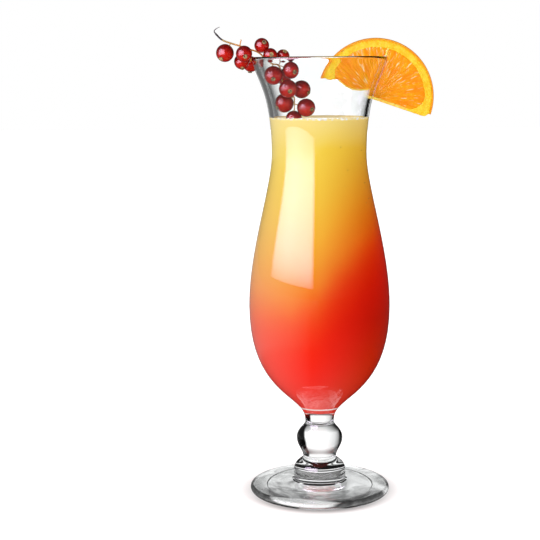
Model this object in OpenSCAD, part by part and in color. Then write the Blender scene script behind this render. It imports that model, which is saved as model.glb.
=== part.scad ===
// Hurricane glass, filled with a layered drink and dressed with fruit on its rim.
// The origin is on the glass's axis, in the plane that the foot rests on. +Z is up.
// The orange slice sits on the rim at +X, and the currants hang over it at -X.

/* [Foot] */
// Diameter of the foot
foot_d = 74.2; // [66:0.2:90]
// Height of the foot at its middle, where the stem is welded on
foot_h = 6; // [5:0.5:9]
// Thickness of the foot at its rounded edge
foot_edge_t = 3.4; // [2.6:0.2:4.4]
// Diameter of the hollow under the foot
foot_hollow_d = 56; // [40:1:62]
// Depth of the hollow under the foot
foot_hollow_depth = 2.2; // [1:0.2:3]

/* [Stem] */
// Diameter of the collar that the stem starts with
collar_d = 27.6; // [22:0.2:32]
// Height of the collar
collar_h = 7.4; // [5:0.2:12]
// Diameter of the waist between the collar and the ball
lower_neck_d = 17.6; // [14:0.2:20]
// Rise from the collar to the lower waist
lower_neck_rise = 5.4; // [4:0.2:9]
// Diameter of the ball
knop_d = 24.4; // [21:0.2:32]
// Rise from the lower waist to the ball's widest ring
knop_rise = 10; // [7:0.2:14]
// Diameter of the neck that carries the bowl
neck_d = 15.2; // [12:0.2:18]
// Rise from the ball's widest ring to the weld with the bowl
neck_rise = 8.8; // [6:0.2:13]

/* [Bowl] */
// Length of the bowl's own straight neck above the weld
bowl_neck_l = 0.8; // [0.4:0.2:3]
// Diameter of the belly
belly_d = 74; // [68:0.2:86]
// Rise from the neck to the belly's widest ring
belly_rise = 61.9; // [52:0.5:75]
// Diameter of the waist below the rim
waist_d = 49.2; // [45:0.2:58]
// Rise from the belly to the waist
waist_rise = 80.4; // [68:0.5:95]
// Diameter of the rim, outside
rim_d = 69.4; // [64:0.2:80]
// Rise from the waist to the top of the rim
flare_rise = 49.3; // [42:0.5:60]
// Thickness of the bowl's wall, which the rounded rim keeps
wall = 2.2; // [1.6:0.1:2.8]
// Thickness of the glass between the weld and the bottom of the cavity
floor_t = 6.4; // [4:0.2:8]
// Lean of the wall at the rim, in degrees from upright
rim_lean = 12.4; // [4:0.2:18]

/* [Drink] */
// Height of the rim above the top of the drink
headspace = 31.3; // [28.5:0.5:60]
// Depth of the grenadine at the bottom
grenadine_h = 50; // [30:1:62]
// Depth of the layer where grenadine and juice have run together
blend_h = 42; // [20:1:50]
// Film between the drink and the glass
film_gap = 0.1; // [0.06:0.01:0.2]
// Number of bubbles at the front of the surface
bubble_count = 15; // [4:1:24]
// Diameter of the largest bubble
bubble_d = 2.2; // [1.2:0.1:2.8]

/* [Orange slice] */
// Diameter of the orange that the slice was cut from
orange_d = 60; // [52:0.5:68]
// Thickness of the slice
slice_t = 6.6; // [4:0.2:8]
// Height of the orange's middle above the slice's straight cut
centre_above_cut = 1.6; // [1:0.1:6]
// Thickness of the coloured zest
zest_t = 1; // [0.6:0.1:1.6]
// Thickness of the pale pith under the zest
pith_t = 3.9; // [2.4:0.1:5]
// Depth of the slot that straddles the wall
slot_depth = 23; // [16:0.2:26]
// Clearance between the slot and each face of the wall
slot_gap = 0.6; // [0.4:0.05:1]
// Offset of the slot from the slice's middle, towards the glass's axis
slot_offset = 1.9; // [0:0.1:3]
// Thickness of the membrane that runs up from the slot
membrane_t = 0.9; // [0.5:0.1:1.6]
// Thickness of the membrane along the straight cut
cut_membrane_t = 1.3; // [0.8:0.1:2]
// Rounding of the corners of the flesh
flesh_round = 7; // [2:0.5:9]

/* [Currants] */
// Typical diameter of a currant
berry_d = 8.2; // [7:0.1:9]
// Diameter of the main stalk
stalk_d = 1; // [0.6:0.1:1.2]
// Diameter of the short stalk of each berry
pedicel_d = 0.7; // [0.4:0.1:0.9]
// Diameter of the dried flower at the end of each berry
calyx_d = 1.9; // [1.2:0.1:2.4]
// Length of the dried flower
calyx_l = 1.5; // [0.8:0.1:2]

/* [Fits] */
// Gap between a resting piece and its seat
rest_gap = 0.3; // [0.2:0.05:0.4]
// Gap between a berry and what grows out of it
grow_gap = 0.1; // [0.05:0.05:0.3]

/* [Hidden] */
$fn = 96;
curve_steps = 12;
rim_steps = 10;
overrun = 1;

foot_r = foot_d / 2;
foot_hollow_r = foot_hollow_d / 2;
collar_r = collar_d / 2;
neck_r = neck_d / 2;
belly_r = belly_d / 2;
waist_r = waist_d / 2;
rim_r = rim_d / 2;

lower_neck_z = foot_h + collar_h + lower_neck_rise;
knop_z = lower_neck_z + knop_rise;
weld_z = knop_z + neck_rise;
bowl_start_z = weld_z + bowl_neck_l;
belly_z = bowl_start_z + belly_rise;
waist_z = belly_z + waist_rise;
rim_z = waist_z + flare_rise;
floor_z = weld_z + floor_t;
level_z = rim_z - headspace;
grenadine_top_z = floor_z + grenadine_h;
blend_top_z = grenadine_top_z + blend_h;

// How far each curve keeps upright at its lower and its upper end, as shares of its rise
foot_slope_shares = [0.35, 0.3];
hollow_shares = [0.5, 0.3];
collar_side_share = 0.55;
collar_shares = [0.75, 0.3];
lower_knop_shares = [0.3, 0.42];
upper_knop_shares = [0.5, 0.25];
belly_shares = [0.23, 0.77];
waist_shares = [0.372, 0.218];
flare_shares = [0.66, 0.217];
floor_pull_shares = [0.55, 0.25];
// Where the cavity's wall gives way to its rounded floor, in neck radii
floor_edge_share = 1.36;

// A cubic curve through four control points, as a list of points
function bezier(p, n) = [for (i = [0:n]) let (t = i / n, s = 1 - t)
    s * s * s * p[0] + 3 * s * s * t * p[1] + 3 * s * t * t * p[2] + t * t * t * p[3]];
// A curve from a to b that leaves and arrives upright
function s_curve(a, b, shares) = let (rise = b[1] - a[1])
    bezier([a, a + [0, shares[0] * rise], b - [0, shares[1] * rise], b], curve_steps);
// An outline moved by d to its left, square to its own run
function moved_in(p, d) = let (last = len(p) - 1) [for (i = [0:last])
    let (run = p[min(i + 1, last)] - p[max(i - 1, 0)], u = run / norm(run))
    [max(0, p[i][0] - d * u[1]), p[i][1] + d * u[0]]];
function without_first(p) = [for (i = [1:len(p) - 1]) p[i]];

// The bowl's outline, from its neck to the rounded rim
rim_across = [cos(rim_lean), -sin(rim_lean)];
rim_along = [sin(rim_lean), cos(rim_lean)];
rim_bead = [rim_r - wall / 2, rim_z - wall / 2];
rim_outer = rim_bead + wall / 2 * rim_across;
flare_end_rise = rim_outer[1] - waist_z;
belly_curve = s_curve([neck_r, bowl_start_z], [belly_r, belly_z], belly_shares);
waist_curve = s_curve([belly_r, belly_z], [waist_r, waist_z], waist_shares);
flare_curve = bezier([[waist_r, waist_z], [waist_r, waist_z + flare_shares[0] * flare_end_rise],
    rim_outer - flare_shares[1] * flare_end_rise * rim_along, rim_outer], curve_steps);
outer_wall = concat(belly_curve, without_first(waist_curve), without_first(flare_curve));
rim_arc = [for (i = [1:rim_steps - 1]) let (a = 180 * i / rim_steps - rim_lean)
    rim_bead + wall / 2 * [cos(a), sin(a)]];

// The cavity's outline, from the middle of its floor to the rim
inner_wall = [for (p = moved_in(outer_wall, wall)) if (p[0] > floor_edge_share * neck_r) p];
floor_edge = inner_wall[0];
floor_run = (inner_wall[1] - inner_wall[0]) / norm(inner_wall[1] - inner_wall[0]);
floor_curve = bezier([[0, floor_z], [floor_pull_shares[0] * floor_edge[0], floor_z],
    floor_edge - floor_pull_shares[1] * floor_edge[0] * floor_run, floor_edge], curve_steps);
cavity = concat(floor_curve, without_first(inner_wall));
drink_side = moved_in(cavity, film_gap);

// Radius of an outline at a height
function radius_at(p, z) = lookup(z, [for (q = p) [q[1], q[0]]]);
function cavity_r(z) = radius_at(cavity, z);

// The slice leans as the wall does where its slot sits
slot_low_z = rim_z - slot_depth;
slot_lean = atan2(rim_bead[0] - radius_at(outer_wall, slot_low_z) + wall / 2, rim_bead[1] - slot_low_z);
slot_w = wall + 2 * slot_gap;
slot_end = wall / 2 + rest_gap;
cut_z = slot_end - slot_depth;
slice_middle = [slot_offset, cut_z + centre_above_cut];
orange_r = orange_d / 2;
pith_r = orange_r - zest_t;
flesh_r = pith_r - pith_t;

// Berries: in from the wall (minus is outside it), back, up from the rim, and diameter,
// all in typical berry diameters, and then the joint of the main stalk that each one hangs from
berry_shares = [
    [-1.66, 0.00, 0.26, 1.12, 2],
    [-0.42, -0.62, 0.20, 1.02, 3],
    [-0.67, 0.37, -0.28, 0.98, 3],
    [-0.24, 2.02, -0.44, 1.00, 4],
    [0.40, -0.12, 0.72, 0.93, 5],
    [0.94, -0.56, 0.10, 0.90, 7],
    [1.71, 0.20, 0.06, 0.83, 9],
    [0.76, -0.42, -1.13, 1.16, 8],
    [1.97, -0.24, -0.82, 1.02, 9],
    [1.28, 0.87, -1.24, 0.98, 9],
    [1.38, -0.62, -1.94, 1.15, 10],
    [2.16, 0.62, -2.00, 1.16, 10],
    [0.80, 0.42, -2.87, 1.22, 11],
    [2.17, -0.12, -3.14, 1.16, 12],
    [1.25, 0.32, -3.86, 1.04, 12]
];
// Joints of the main stalk, from its torn end down to its tip, placed as the berries are
stalk_shares = [
    [-2.22, -0.12, 1.46],
    [-1.85, -0.06, 1.10],
    [-1.28, 0.00, 0.87],
    [-0.73, 0.06, 0.70],
    [-0.04, 0.12, 0.46],
    [0.06, 0.18, 0.34],
    [0.35, 0.30, 0.14],
    [0.56, 0.43, -0.12],
    [0.90, 0.49, -0.43],
    [1.29, 0.24, -0.54],
    [1.16, 0.12, -1.52],
    [1.54, 0.12, -2.46],
    [1.45, 0.06, -2.93]
];
// How far the dried flowers turn to the front, for one part of their way from the stalk
flower_turn_share = 1;
// Bare twigs that have lost their berries: the joint they leave from, then their end
twig_shares = [[0, -1.92, -0.3, 1.9], [3, -0.62, 0, 1.12]];

function place(share) = let (z = rim_z + share[2] * berry_d)
    [share[0] * berry_d - cavity_r(z) - (share[0] < 0 ? wall : 0), share[1] * berry_d, z];
function berry_r(share) = share[3] * berry_d / 2;
function joint_of(share) = place(stalk_shares[share[4]]);
// The direction from a berry's middle to its stalk
function stalk_way(share) = let (v = joint_of(share) - place(share)) v / norm(v);
// The direction from a berry's middle to its dried flower, away from the stalk and to the front
function flower_way(share) = let (v = [0, -flower_turn_share, 0] - stalk_way(share)) v / norm(v);
function berry_name(i) = str("berry_", i < 10 ? "0" : "", i);

module turned(points) {
    rotate_extrude() polygon(points);
}

module foot() {
    edge_r = foot_edge_t / 2;
    edge_middle = foot_r - edge_r;
    edge_arc = [for (i = [0:rim_steps]) let (a = 180 * i / rim_steps - 90)
        [edge_middle, edge_r] + edge_r * [cos(a), sin(a)]];
    run = collar_r - edge_middle;
    slope = bezier([[edge_middle, foot_edge_t],
        [edge_middle + foot_slope_shares[0] * run, foot_edge_t],
        [collar_r - foot_slope_shares[1] * run, foot_h], [collar_r, foot_h]], curve_steps);
    hollow = bezier([[0, foot_hollow_depth], [hollow_shares[0] * foot_hollow_r, foot_hollow_depth],
        [foot_hollow_r, hollow_shares[1] * foot_hollow_depth], [foot_hollow_r, 0]], curve_steps);
    color("gainsboro") turned(concat(hollow, edge_arc, without_first(slope), [[0, foot_h]]));
}

module stem() {
    side_z = foot_h + collar_side_share * collar_h;
    flare = s_curve([collar_r, side_z], [lower_neck_d / 2, lower_neck_z], collar_shares);
    lower = s_curve([lower_neck_d / 2, lower_neck_z], [knop_d / 2, knop_z], lower_knop_shares);
    upper = s_curve([knop_d / 2, knop_z], [neck_r, weld_z], upper_knop_shares);
    color("gainsboro") turned(concat([[0, foot_h], [collar_r, foot_h]], flare,
        without_first(lower), without_first(upper), [[0, weld_z]]));
}

module bowl() {
    rising = concat([[0, weld_z], [neck_r, weld_z]], outer_wall, rim_arc);
    falling = [for (i = [len(cavity) - 1:-1:0]) cavity[i]];
    color("gainsboro") turned(concat(rising, falling));
}

module drink(low_z, high_z) {
    side = [for (p = drink_side) if (p[1] > low_z && p[1] < high_z) p];
    difference() {
        turned(concat([[0, low_z], [radius_at(drink_side, low_z), low_z]], side,
            [[radius_at(drink_side, high_z), high_z], [0, high_z]]));
        for (share = berry_shares) dent(share, high_z);
    }
}

// The hollow that a berry and its dried flower press into the surface, open above it
module dent(share, top_z) {
    p = place(share);
    reach = (berry_r(share) + grow_gap + calyx_l) * flower_way(share);
    low_z = p[2] + min(-berry_r(share), reach[2] - calyx_d / 2) - rest_gap;
    dent_r = max(berry_r(share), norm([reach[0], reach[1]]) + calyx_d / 2) + rest_gap;
    if (low_z < top_z && norm([p[0], p[1]]) < cavity_r(level_z))
        translate([p[0], p[1], low_z])
            cylinder(h = top_z - low_z + overrun, r = dent_r);
}

module grenadine() {
    color("red") drink(drink_side[0][1], grenadine_top_z);
}

module blended_layer() {
    color("orange") drink(grenadine_top_z, blend_top_z);
}

module orange_juice() {
    color("khaki") drink(blend_top_z, level_z);
}

module surface_bubbles() {
    // The front arc that the bubbles keep to, in degrees, and their sizes as shares of the largest
    first_angle = 205;
    last_angle = 335;
    smallest_share = 0.45;
    size_turn = 67;
    for (i = [0:bubble_count - 1]) {
        share = smallest_share + (1 - smallest_share) * abs(sin(size_turn * i));
        r = share * bubble_d / 2;
        a = first_angle + (last_angle - first_angle) * i / (bubble_count - 1);
        color("white") rotate([0, 0, a]) translate([cavity_r(level_z) - rest_gap - r, 0, level_z])
            intersection() {
                sphere(r);
                translate([-bubble_d, -bubble_d, 0]) cube([2 * bubble_d, 2 * bubble_d, bubble_d]);
            }
    }
}

// Places a flat drawing on the rim as the slice lies, upright and leaning with the wall
module on_rim() {
    translate([rim_bead[0], 0, rim_bead[1]]) rotate([0, slot_lean, 0]) rotate([90, 0, 0])
        linear_extrude(height = slice_t, center = true) children();
}

module above_cut(low_z) {
    translate([-orange_d, low_z]) square([2 * orange_d, 2 * orange_d]);
}

module slot() {
    round_z = slot_end - slot_w / 2;
    translate([0, round_z]) circle(slot_w / 2);
    translate([-slot_w / 2, cut_z - overrun]) square([slot_w, round_z - cut_z + overrun]);
}

module flesh() {
    offset(r = flesh_round) offset(delta = -flesh_round) intersection() {
        translate(slice_middle) circle(flesh_r);
        above_cut(cut_z + cut_membrane_t);
    }
}

module flesh_half(side) {
    intersection() {
        difference() {
            flesh();
            slot();
        }
        translate([side * (membrane_t / 2 + orange_r), slice_middle[1]])
            square([2 * orange_r, 2 * orange_d], center = true);
    }
}

module slice_zest() {
    color("darkorange") on_rim() intersection() {
        above_cut(cut_z);
        translate(slice_middle) difference() {
            circle(orange_r);
            circle(pith_r);
        }
    }
}

module slice_pith() {
    color("gold") on_rim() difference() {
        intersection() {
            translate(slice_middle) circle(pith_r);
            above_cut(cut_z + cut_membrane_t);
        }
        flesh();
        slot();
    }
}

module slice_pulp_inner() {
    color("orange") on_rim() flesh_half(-1);
}

module slice_pulp_outer() {
    color("orange") on_rim() flesh_half(1);
}

module slice_membrane() {
    color("khaki") on_rim() difference() {
        union() {
            intersection() {
                translate([0, slice_middle[1]]) square([membrane_t, 2 * orange_d], center = true);
                flesh();
            }
            intersection() {
                translate(slice_middle) circle(pith_r);
                translate([-orange_d, cut_z]) square([2 * orange_d, cut_membrane_t]);
            }
        }
        slot();
    }
}

// A thin straight twig between two places
module twig(from, to, d) {
    hull() {
        translate(from) sphere(d = d, $fn = 8);
        translate(to) sphere(d = d, $fn = 8);
    }
}

module sprig_stalk() {
    joints = [for (share = stalk_shares) place(share)];
    color("olive") {
        for (i = [1:len(joints) - 1]) twig(joints[i - 1], joints[i], stalk_d);
        for (share = twig_shares)
            twig(joints[share[0]], place([share[1], share[2], share[3]]), pedicel_d);
        for (share = berry_shares)
            twig(joint_of(share), place(share) + (berry_r(share) + grow_gap + pedicel_d / 2)
                * stalk_way(share), pedicel_d);
    }
}

// The dried flower stands on the berry's end away from its stalk, turned to the front
module berry_calyxes() {
    foot_share = 0.4;
    for (share = berry_shares) {
        way = flower_way(share);
        color("saddlebrown") translate(place(share))
            rotate([0, acos(way[2]), atan2(way[1], way[0])])
                translate([0, 0, berry_r(share) + grow_gap])
                    cylinder(h = calyx_l, d1 = foot_share * calyx_d, d2 = calyx_d, $fn = 16);
    }
}

module berry(share) {
    color("firebrick") translate(place(share)) sphere(berry_r(share));
}

foot();
stem();
bowl();
grenadine();
blended_layer();
orange_juice();
surface_bubbles();
slice_zest();
slice_pith();
slice_pulp_inner();
slice_pulp_outer();
slice_membrane();
sprig_stalk();
berry_calyxes();
for (i = [1:len(berry_shares)])
    berry(berry_shares[i - 1]);
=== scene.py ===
import math
import random

import bpy
from mathutils import Matrix, Vector


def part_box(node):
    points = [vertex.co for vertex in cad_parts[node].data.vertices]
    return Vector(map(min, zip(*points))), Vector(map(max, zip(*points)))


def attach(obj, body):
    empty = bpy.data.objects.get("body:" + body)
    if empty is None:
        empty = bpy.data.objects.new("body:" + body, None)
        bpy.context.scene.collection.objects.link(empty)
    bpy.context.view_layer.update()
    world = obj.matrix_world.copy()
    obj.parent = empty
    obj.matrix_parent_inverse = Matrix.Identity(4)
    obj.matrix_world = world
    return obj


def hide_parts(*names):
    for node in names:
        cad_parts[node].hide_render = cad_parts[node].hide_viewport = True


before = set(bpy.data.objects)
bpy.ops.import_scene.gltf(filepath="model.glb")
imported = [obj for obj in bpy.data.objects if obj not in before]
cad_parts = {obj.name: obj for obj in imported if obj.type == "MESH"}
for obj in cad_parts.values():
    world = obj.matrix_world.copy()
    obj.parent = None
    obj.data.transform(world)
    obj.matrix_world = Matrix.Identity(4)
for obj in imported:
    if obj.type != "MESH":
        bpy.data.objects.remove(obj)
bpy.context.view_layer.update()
scene = bpy.context.scene

# The foot
# A pressed disc of clear soda glass, a little higher in the middle and hollow underneath, so that
# it stands on a ring. The stem is welded on in its middle while the glass is hot.
MM = 0.001
TURN_STEPS = 128
CURVE_STEPS = 20
EDGE_STEPS = 14
# Vertices closer than this are one, and a face is flat if its corners lie this close to a level
SAME_PLACE = 0.000001
FLAT_WITHIN = 0.00002
SMOOTH_BELOW = math.radians(40)
foot_r = 37.1
foot_h = 6
foot_edge_t = 3.4
foot_hollow_r = 28
foot_hollow_depth = 2.2
collar_r = 13.8
GLASS_TINT = (0.985, 0.995, 0.992, 1)
# Painted grey shade for where the glass is seen edge on
GLASS_EDGE_SHADE = (0.62, 0.66, 0.66, 1)
GLASS_SHADOW = (0.8, 0.81, 0.81, 1)
GLASS_IOR = 1.5
GLASS_ROUGHNESS = 0.0


def cubic(points, steps=CURVE_STEPS):
    """Points along a cubic curve through four control points."""
    a, b, c, d = (Vector(p) for p in points)
    made = []
    for i in range(steps + 1):
        t = i / steps
        s = 1 - t
        made.append(s ** 3 * a + 3 * s * s * t * b + 3 * s * t * t * c + t ** 3 * d)
    return made


def upright_curve(low, high, low_share, high_share):
    """A cubic curve that leaves low and reaches high upright."""
    rise = high[1] - low[1]
    return cubic([low, (low[0], low[1] + low_share * rise),
                  (high[0], high[1] - high_share * rise), high])


def arc(middle, r, start, end, steps):
    """Points along an arc, its angles in degrees."""
    angles = [math.radians(start + (end - start) * i / steps) for i in range(steps + 1)]
    return [Vector((middle[0] + r * math.cos(a), middle[1] + r * math.sin(a))) for a in angles]


def only(obj):
    """Selects one object and makes it the active one."""
    bpy.ops.object.select_all(action="DESELECT")
    obj.select_set(True)
    bpy.context.view_layer.objects.active = obj


def drawn_line(name, start, steps):
    """Starts a piece in edit mode: a plane merged to one vertex, which is drawn out to a line."""
    bpy.ops.mesh.primitive_plane_add(size=MM)
    obj = bpy.context.object
    obj.name = obj.data.name = name
    bpy.ops.object.mode_set(mode="EDIT")
    bpy.ops.mesh.merge(type="CENTER")
    bpy.ops.transform.translate(value=start)
    for step in steps:
        bpy.ops.mesh.extrude_region_move(TRANSFORM_OT_translate={"value": step})
    bpy.ops.mesh.select_all(action="SELECT")
    return obj


def close_piece(same_place):
    """Merges a piece's seams, turns its faces outwards and leaves edit mode."""
    bpy.ops.mesh.select_all(action="SELECT")
    bpy.ops.mesh.remove_doubles(threshold=same_place)
    bpy.ops.mesh.normals_make_consistent(inside=False)
    bpy.ops.object.mode_set(mode="OBJECT")


def turned_piece(name, outline):
    """Draws an outline of radius and height in millimetres and spins it about the glass's axis."""
    steps = [((b[0] - a[0]) * MM, 0, (b[1] - a[1]) * MM) for a, b in zip(outline, outline[1:])]
    obj = drawn_line(name, (outline[0][0] * MM, 0, outline[0][1] * MM), steps)
    bpy.ops.mesh.spin(steps=TURN_STEPS, angle=math.tau, center=(0, 0, 0), axis=(0, 0, 1))
    close_piece(2 * SAME_PLACE)
    bpy.ops.object.shade_smooth_by_angle(angle=SMOOTH_BELOW)
    return obj


def feed(tree, node, inputs):
    """Feeds a node by its sockets' names or numbers: links an output, and sets anything else."""
    for socket, source in inputs.items():
        if isinstance(source, bpy.types.NodeSocket):
            tree.links.new(source, node.inputs[socket])
        else:
            node.inputs[socket].default_value = source


def add_node(tree, kind, inputs, output=0, **settings):
    """One output of a new node, which is set up and fed first."""
    node = tree.nodes.new("ShaderNode" + kind)
    for key, value in settings.items():
        setattr(node, key, value)
    feed(tree, node, inputs)
    return node.outputs[output]


def new_material(name, values):
    """A material, its node tree, and its Principled shader with its constant values."""
    material = bpy.data.materials.new(name)
    material.use_nodes = True
    tree = material.node_tree
    shader = tree.nodes["Principled BSDF"]
    feed(tree, shader, values)
    return material, tree, shader


def coords(tree, kind="Object"):
    """The coordinates of a place on a piece."""
    return add_node(tree, "TexCoord", {}, kind)


def ray(tree, kind):
    """What is known about the ray that meets a surface."""
    return add_node(tree, "LightPath", {}, kind)


def calc(tree, operation, *values):
    """A number worked out from others."""
    return add_node(tree, "Math", dict(enumerate(values)), operation=operation)


def times(tree, a, b):
    """One number times another."""
    return calc(tree, "MULTIPLY", a, b)


def noise(tree, place, scale, detail, roughness=0.5, distortion=0):
    """Soft random patches, as a number."""
    return add_node(tree, "TexNoise", {
        "Vector": place, "Scale": scale, "Detail": detail, "Roughness": roughness,
        "Distortion": distortion}, "Fac")


def blended(tree, share, low, high, blend_type="MIX"):
    """A colour between two others."""
    return add_node(tree, "Mix", {0: share, 6: low, 7: high}, 2,
                    data_type="RGBA", blend_type=blend_type)


def relief(tree, height, strength, depth, invert=False):
    """A surface's tilt, from a height."""
    return add_node(tree, "Bump", {
        "Height": height, "Strength": strength, "Distance": depth}, "Normal", invert=invert)


def clear_glass():
    """Fire polished soda glass: faint waves in it, and a painted grey shade where it is seen edge
    on.
    """
    material, tree, shader = new_material("clear_glass", {
        "Transmission Weight": 1, "Roughness": GLASS_ROUGHNESS, "IOR": GLASS_IOR})
    waves = noise(tree, coords(tree), scale=38, detail=2, roughness=0.4)
    facing = add_node(tree, "LayerWeight", {"Blend": 0.18}, "Facing")
    feed(tree, shader, {"Base Color": blended(tree, facing, GLASS_TINT, GLASS_EDGE_SHADE),
                        "Normal": relief(tree, waves, strength=0.05, depth=0.0006)})
    clear = add_node(tree, "BsdfTransparent", {"Color": GLASS_SHADOW})
    dim = calc(tree, "MAXIMUM", ray(tree, "Is Shadow Ray"), ray(tree, "Is Diffuse Ray"))
    mix = add_node(tree, "MixShader", {0: dim, 1: shader.outputs[0], 2: clear})
    feed(tree, tree.nodes["Material Output"], {"Surface": mix})
    return material


def weld_glass():
    """The inside of a weld, where light passes from glass to glass and nothing shows."""
    return new_material("glass_weld", {"Alpha": 0, "Base Color": GLASS_TINT})[0]


GLASS = clear_glass()
WELD = weld_glass()


def finish_glass(obj, weld_heights, node):
    """Gives a glass piece its materials, with the flat faces at its welds see-through."""
    obj.data.materials.append(GLASS)
    obj.data.materials.append(WELD)
    for face in obj.data.polygons:
        z = face.center.z
        flat = all(abs(obj.data.vertices[v].co.z - z) < FLAT_WITHIN for v in face.vertices)
        if flat and any(abs(z - h * MM) < FLAT_WITHIN for h in weld_heights):
            face.material_index = 1
    obj.visible_diffuse = node == "foot"
    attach(obj, "glass")
    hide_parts(node)


foot_edge_r = foot_edge_t / 2
edge_middle = (foot_r - foot_edge_r, foot_edge_r)
slope_run = collar_r - edge_middle[0]
foot_outline = cubic([(0, foot_hollow_depth), (0.5 * foot_hollow_r, foot_hollow_depth),
                      (foot_hollow_r, 0.3 * foot_hollow_depth), (foot_hollow_r, 0)])
foot_outline += arc(edge_middle, foot_edge_r, -90, 90, EDGE_STEPS)
foot_outline += cubic([
    (edge_middle[0], foot_edge_t), (edge_middle[0] + 0.35 * slope_run, foot_edge_t),
    (collar_r - 0.3 * slope_run, foot_h), (collar_r, foot_h)])[1:]
foot_outline.append(Vector((0, foot_h)))
foot = turned_piece("pressed_foot", foot_outline)
finish_glass(foot, [foot_h], "foot")

# The stem
# A short solid stem pressed in one piece: a collar that sits on the foot, a waist, a ball and a
# thin neck. Both ends are flat and welded, to the foot below and to the bowl above.
collar_side_z = 10.07
lower_neck_r = 8.8
lower_neck_z = 18.8
knop_r = 12.2
knop_z = 28.8
neck_r = 7.6
weld_z = 37.6
stem_outline = [Vector((0, foot_h)), Vector((collar_r, foot_h))]
stem_outline += upright_curve((collar_r, collar_side_z), (lower_neck_r, lower_neck_z), 0.75, 0.3)
stem_outline += upright_curve((lower_neck_r, lower_neck_z), (knop_r, knop_z), 0.3, 0.42)[1:]
stem_outline += upright_curve((knop_r, knop_z), (neck_r, weld_z), 0.5, 0.25)[1:]
stem_outline.append(Vector((0, weld_z)))
stem = turned_piece("pressed_stem", stem_outline)
finish_glass(stem, [foot_h, weld_z], "stem")

# The bowl
# Blown into a turned mould: a solid neck, a full belly, a waist and a flared mouth whose rim is
# melted round. Its wall is of even thickness, and its floor is a shallow cup.
bowl_start_z = 38.4
belly_r, belly_z = 37.0, 100.3
waist_r, waist_z = 24.6, 180.7
rim_r, rim_z = 34.7, 230
wall = 2.2
floor_z = 44
rim_lean = math.radians(12.4)
floor_edge_r = 1.36 * neck_r


def moved_in(outline, distance):
    """An outline moved to its left, square to its own run."""
    made = []
    for i, point in enumerate(outline):
        run = outline[min(i + 1, len(outline) - 1)] - outline[max(i - 1, 0)]
        run.normalize()
        made.append(Vector((max(0, point[0] - distance * run[1]), point[1] + distance * run[0])))
    return made


rim_bead = Vector((rim_r - wall / 2, rim_z - wall / 2))
rim_outer = rim_bead + wall / 2 * Vector((math.cos(rim_lean), -math.sin(rim_lean)))
flare_rise = rim_outer[1] - waist_z
rim_pull = 0.217 * flare_rise * Vector((math.sin(rim_lean), math.cos(rim_lean)))
outer_wall = upright_curve((neck_r, bowl_start_z), (belly_r, belly_z), 0.23, 0.77)
outer_wall += upright_curve((belly_r, belly_z), (waist_r, waist_z), 0.372, 0.218)[1:]
outer_wall += cubic([(waist_r, waist_z), (waist_r, waist_z + 0.66 * flare_rise),
                     rim_outer - rim_pull, rim_outer])[1:]
inner_wall = [p for p in moved_in(outer_wall, wall) if p[0] > floor_edge_r]
floor_run = (inner_wall[1] - inner_wall[0]).normalized()
floor_edge = inner_wall[0]
cavity = cubic([(0, floor_z), (0.55 * floor_edge[0], floor_z),
                floor_edge - 0.25 * floor_edge[0] * floor_run, floor_edge]) + inner_wall[1:]
lean_angle = math.degrees(rim_lean)
rim_arc = arc(rim_bead, wall / 2, -lean_angle, 180 - lean_angle, EDGE_STEPS)[1:-1]
bowl_outline = [Vector((0, weld_z)), Vector((neck_r, weld_z))] + outer_wall + rim_arc + cavity[::-1]
bowl = turned_piece("blown_bowl", bowl_outline)
finish_glass(bowl, [weld_z], "bowl")

# The drink
# Grenadine, poured in last, has sunk under the orange juice, and the two have run together in the
# belly. The juice wets the glass all over, so its side is drawn a hair's breadth into the wall.
level_z = 198.7
WET = 0.12
meniscus_h = 0.7
meniscus_r = 1.3
# How far the colours drop to the right of the axis, as painted shade, and rise to the left, as
# painted light, and how far they drift
SHADE_DROP_RIGHT = 1.15
LIGHT_RISE_LEFT, LIGHT_RISE_TO = 0.5, 0.014
DRIFT = 0.012
# Colours up the glass's axis, by height in millimetres
DRINK_COLOURS = (
    (44, (0.93, 0.07, 0.05)),
    (58, (0.93, 0.04, 0.028)),
    (72, (0.92, 0.022, 0.012)),
    (84, (0.91, 0.02, 0.007)),
    (92, (0.9, 0.033, 0.007)),
    (99, (0.89, 0.05, 0.009)),
    (106, (0.89, 0.095, 0.013)),
    (112, (0.89, 0.175, 0.018)),
    (118, (0.89, 0.245, 0.023)),
    (126, (0.89, 0.32, 0.028)),
    (138, (0.9, 0.41, 0.034)),
    (156, (0.9, 0.52, 0.046)),
    (180, (0.91, 0.62, 0.062)),
    (188, (0.9, 0.65, 0.1)),
    (198, (0.9, 0.66, 0.13)),
)
# Painted light and shade over those colours, with their shares across the glass and up it. Each
# range in this file is a start, an end, and the values at both.
PAINTED_SIDE_SHADING = (
    # Painted shade on the right, deeper in colour
    ("MULTIPLY", (0.95, 0.6, 0.12, 1), (0.002, 0.026, 0, 1), (0.15, 0.188, 1, 0.1)),
    # Painted shade low on the right, darker red
    ("MULTIPLY", (0.62, 0.4, 0.2, 1), (-0.006, 0.032, 0, 1), (0.098, 0.135, 1, 0)),
    # Painted light on the left, a pale haze
    ("MIX", (0.97, 0.95, 0.8, 1), (-0.004, -0.03, 0, 1), (0.1, 0.14, 0.09, 0.14)),
)
# A painted highlight: a thin pale ring low in the drink, its height, range and colour
BASE_GLINT_Z, BASE_GLINT = 46.6, (0.0002, 0.0006, 0.9, 0)
BASE_GLINT_WHITE = (1, 0.95, 0.92, 1)
TOP_PALER, TOP_PALE = (0.184, 0.198, 0, 0.45), (0.95, 0.78, 0.36, 1)
SURFACE_PALE = (1, 0.83, 0.38, 1)
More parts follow.
